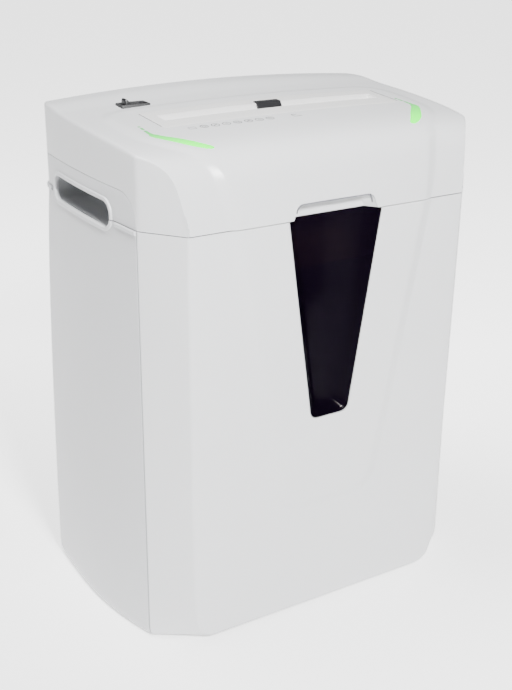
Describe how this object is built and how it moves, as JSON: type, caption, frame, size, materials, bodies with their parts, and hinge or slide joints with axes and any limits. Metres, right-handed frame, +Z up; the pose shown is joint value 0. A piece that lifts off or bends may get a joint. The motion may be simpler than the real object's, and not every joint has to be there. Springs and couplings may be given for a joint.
{
  "type": "paper shredder",
  "caption": "Free-standing paper shredder: lift-off cutting head with a paper throat on a waste bin with a smoked V window and side grips.",
  "frame": {"origin": "on the floor under the middle of the case", "axes": "+Z up, front with the window at -Y, X across the width"},
  "size_m": [0.412, 0.2727, 0.5226],
  "materials": {
    "shell_white": "satin light grey moulded ABS",
    "shell_grey": "satin light grey moulded ABS, a shade darker",
    "smoked": "smoked transparent styrene, seen as near black",
    "rubber_black": "matt black rubber",
    "screw_steel": "zinc-plated steel",
    "black_plastic": "fine-textured black plastic",
    "green_lens": "green tinted light guide",
    "chute_plastic": "plain light plastic",
    "plate_steel": "rolled steel sheet",
    "cutter_steel": "ground hardened steel, oiled",
    "bronze": "sintered bronze",
    "gear_plastic": "natural acetal",
    "motor_steel": "zinc-plated drawn can",
    "board_green": "circuit board with solder mask",
    "part_mixed": "moulded component cases",
    "plunger_red": "red acetal"
  },
  "bodies": {
    "bin": {"bin_tub": "shell_grey", "bin_fascia": "shell_white", "window_tray": "smoked", "bin_feet": "rubber_black", "fascia_screws": "screw_steel", "striker": "shell_grey"},
    "head": {"head_cover": "shell_white", "head_base": "shell_grey", "grip_left": "shell_grey", "grip_right": "shell_grey", "throat_insert": "shell_white", "sensor_block": "black_plastic", "light_pipe_left": "green_lens", "light_pipe_right": "green_lens", "led_boards": "board_green", "switch_bezel": "black_plastic", "chute": "chute_plastic", "side_plate_left": "plate_steel", "side_plate_right": "plate_steel", "tie_rods": "plate_steel", "rod_nuts": "screw_steel", "comb_front": "black_plastic", "comb_rear": "black_plastic", "bushes": "bronze", "idler_stud": "plate_steel", "motor_can": "motor_steel", "motor_cap": "black_plastic", "motor_screws": "screw_steel", "control_board": "board_green", "board_parts": "part_mixed", "safety_switch": "black_plastic", "cover_screws": "screw_steel", "cord_gland": "black_plastic"},
    "rocker": {"rocker": "black_plastic"},
    "cutter_front": {"cutter_front": "cutter_steel"},
    "cutter_rear": {"cutter_rear": "cutter_steel"},
    "idler": {"idler_gear": "gear_plastic"},
    "rotor": {"motor_rotor": "cutter_steel"},
    "plunger": {"safety_plunger": "plunger_red"}
  },
  "joints": [
    {"name": "head_lift", "type": "slide", "parent": "bin", "child": "head", "axis": [0, 0, 1], "range_m": [0, 0.16]},
    {"name": "rocker_tilt", "type": "hinge", "parent": "head", "child": "rocker", "pos_m": [-0.118, 0.055, 0.511], "axis": [0, 1, 0], "range_deg": [-18, 0]},
    {"name": "cutter_spin", "type": "hinge", "parent": "head", "child": "cutter_front", "pos_m": [0.004, -0.039, 0.466], "axis": [1, 0, 0], "continuous": true},
    {"name": "cutter_rear_spin", "type": "hinge", "parent": "head", "child": "cutter_rear", "pos_m": [0.004, 0.005, 0.466], "axis": [1, 0, 0], "continuous": true},
    {"name": "idler_spin", "type": "hinge", "parent": "head", "child": "idler", "pos_m": [0.14, 0.04636, 0.45871], "axis": [1, 0, 0], "continuous": true},
    {"name": "rotor_spin", "type": "hinge", "parent": "head", "child": "rotor", "pos_m": [0.1, 0.07234, 0.47371], "axis": [1, 0, 0], "continuous": true},
    {"name": "plunger_slide", "type": "slide", "parent": "head", "child": "plunger", "axis": [0, 0, 1], "range_m": [0, 0.003], "stiffness_N_per_m": 150, "springref_m": -0.002}
  ],
  "couplings": [
    {"joint": "cutter_rear_spin", "follows": "cutter_spin", "ratio": -1},
    {"joint": "idler_spin", "follows": "cutter_spin", "ratio": 3.6667},
    {"joint": "rotor_spin", "follows": "cutter_spin", "ratio": -18.333}
  ]
}
